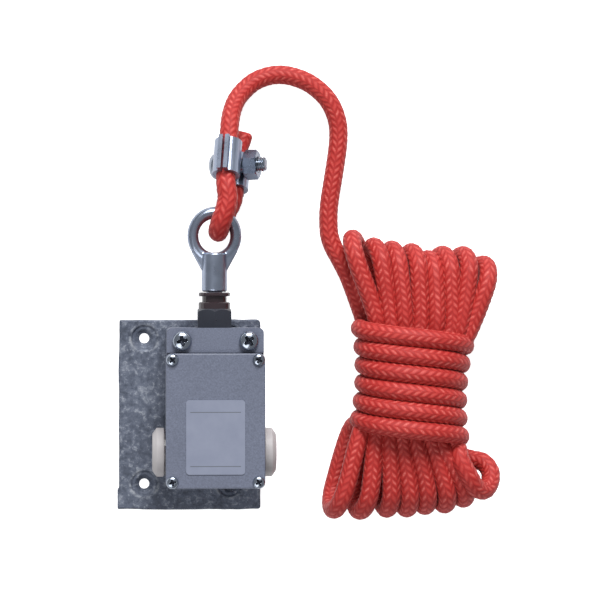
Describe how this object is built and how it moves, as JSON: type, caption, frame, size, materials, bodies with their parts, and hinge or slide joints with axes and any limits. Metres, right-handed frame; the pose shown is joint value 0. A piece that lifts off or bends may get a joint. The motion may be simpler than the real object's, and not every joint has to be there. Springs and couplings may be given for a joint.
{
  "type": "ceiling pull switch",
  "caption": "Metal-cased pull switch on a galvanised mounting plate, with a sprung pull eye, rope clip and folded red rope.",
  "frame": {"origin": "centre of the mounting plate's back face", "axes": "+Z out of the plate's back toward the cover, +Y along the pull rod toward the eye, +X toward the folded rope"},
  "size_m": [0.1888, 0.2256, 0.0476],
  "materials": {
    "galvanised_steel": "hot-dip galvanised, mottled and rough",
    "painted_casting": "fine textured grey paint on a die casting",
    "label_film": "satin film",
    "black_rubber": "matt",
    "zinc_steel": "bright zinc plate",
    "spring_steel": "drawn spring wire",
    "cream_plastic": "off-white moulded plastic",
    "black_plastic": "satin black",
    "block_plastic": "moulded",
    "contact_brass": "plain",
    "red_rope": "braided polypropylene with a slight sheen"
  },
  "bodies": {
    "base": {"mounting_plate": "galvanised_steel", "housing_body": "painted_casting", "cover": "painted_casting", "cover_gasket": "black_rubber", "label_plate": "label_film", "lock_washer_1": "zinc_steel", "lock_washer_2": "zinc_steel", "mounting_screw_1": "zinc_steel", "mounting_screw_2": "zinc_steel", "inner_screw_1": "zinc_steel", "inner_screw_2": "zinc_steel", "blanking_plug_left": "cream_plastic", "blanking_plug_right": "cream_plastic", "plug_seal_left": "black_rubber", "plug_seal_right": "black_rubber", "guide_bush": "black_plastic", "wiper_seal": "black_rubber", "return_spring": "spring_steel", "contact_block": "block_plastic", "tappet_spring": "spring_steel", "earth_screw": "contact_brass", "cover_screw_1": "zinc_steel", "terminal_1": "contact_brass", "terminal_screw_1": "zinc_steel", "cover_screw_2": "zinc_steel", "terminal_2": "contact_brass", "terminal_screw_2": "zinc_steel", "cover_screw_3": "zinc_steel", "terminal_3": "contact_brass", "terminal_screw_3": "zinc_steel", "cover_screw_4": "zinc_steel", "terminal_4": "contact_brass", "terminal_screw_4": "zinc_steel"},
    "pull": {"pull_eye": "zinc_steel", "pull_rod": "zinc_steel", "spring_seat": "zinc_steel", "retaining_ring": "spring_steel", "clip_plate_right": "zinc_steel", "clip_plate_left": "zinc_steel", "clip_bolt": "zinc_steel", "clip_nut": "zinc_steel", "rope_lead": "red_rope", "rope_hank": "red_rope"},
    "contact": {"tappet": "black_plastic", "contact_bridge": "contact_brass"}
  },
  "joints": [
    {"name": "pull_rod_slide", "type": "slide", "parent": "base", "child": "pull", "axis": [0, 1, 0], "range_m": [0, 0.005], "stiffness_N_per_m": 4000, "springref_m": -0.002, "deforming": ["return_spring"]},
    {"name": "tappet_slide", "type": "slide", "parent": "base", "child": "contact", "axis": [0, 1, 0], "range_m": [0, 0.005], "deforming": ["tappet_spring"]}
  ],
  "couplings": [
    {"joint": "tappet_slide", "follows": "pull_rod_slide", "ratio": 1}
  ]
}
